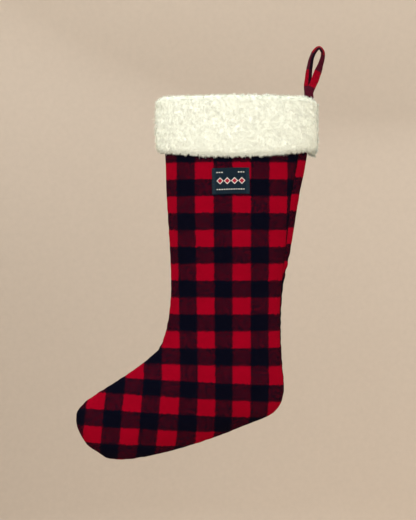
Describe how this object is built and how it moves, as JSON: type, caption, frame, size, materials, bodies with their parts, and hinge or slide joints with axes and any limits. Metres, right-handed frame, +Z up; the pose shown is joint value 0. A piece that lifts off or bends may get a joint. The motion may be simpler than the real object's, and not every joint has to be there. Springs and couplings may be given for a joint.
{
  "type": "hanging stocking",
  "caption": "Checked wool hanging stocking with a fleece cuff, a woven label and a swinging cloth loop at the cuff's corner.",
  "frame": {"origin": "inside top of the hanging loop's eye, where a hook holds it", "axes": "+Z up, the front faces -Y, the toe points to -X and the loop is at the calf side"},
  "size_m": [0.3375, 0.0654, 0.5607],
  "materials": {
    "plaid_wool": "brushed twill wool, red and black checks",
    "fleece": "cream sherpa pile",
    "loop_wool": "the same checked wool, folded to a strip",
    "label_weave": "satin woven label",
    "dark_thread": "polyester sewing thread",
    "cream_thread": "polyester sewing thread"
  },
  "bodies": {
    "stocking": {"front_panel": "plaid_wool", "back_panel": "plaid_wool", "side_seam_thread": "dark_thread", "overlock_thread": "dark_thread", "cuff": "fleece", "cuff_seam_thread": "cream_thread", "cuff_join_thread": "cream_thread", "label": "label_weave", "label_thread": "dark_thread", "loop_ends": "loop_wool", "loop_tack_thread": "dark_thread"},
    "loop": {"hanging_loop": "loop_wool", "loop_edge_thread": "dark_thread"}
  },
  "joints": [
    {"name": "loop_swing", "type": "hinge", "parent": "stocking", "child": "loop", "pos_m": [-0.0135, 0, -0.0562], "axis": [0, 1, 0], "range_deg": [-80, 60], "stiffness_Nm_per_rad": 0.012}
  ]
}
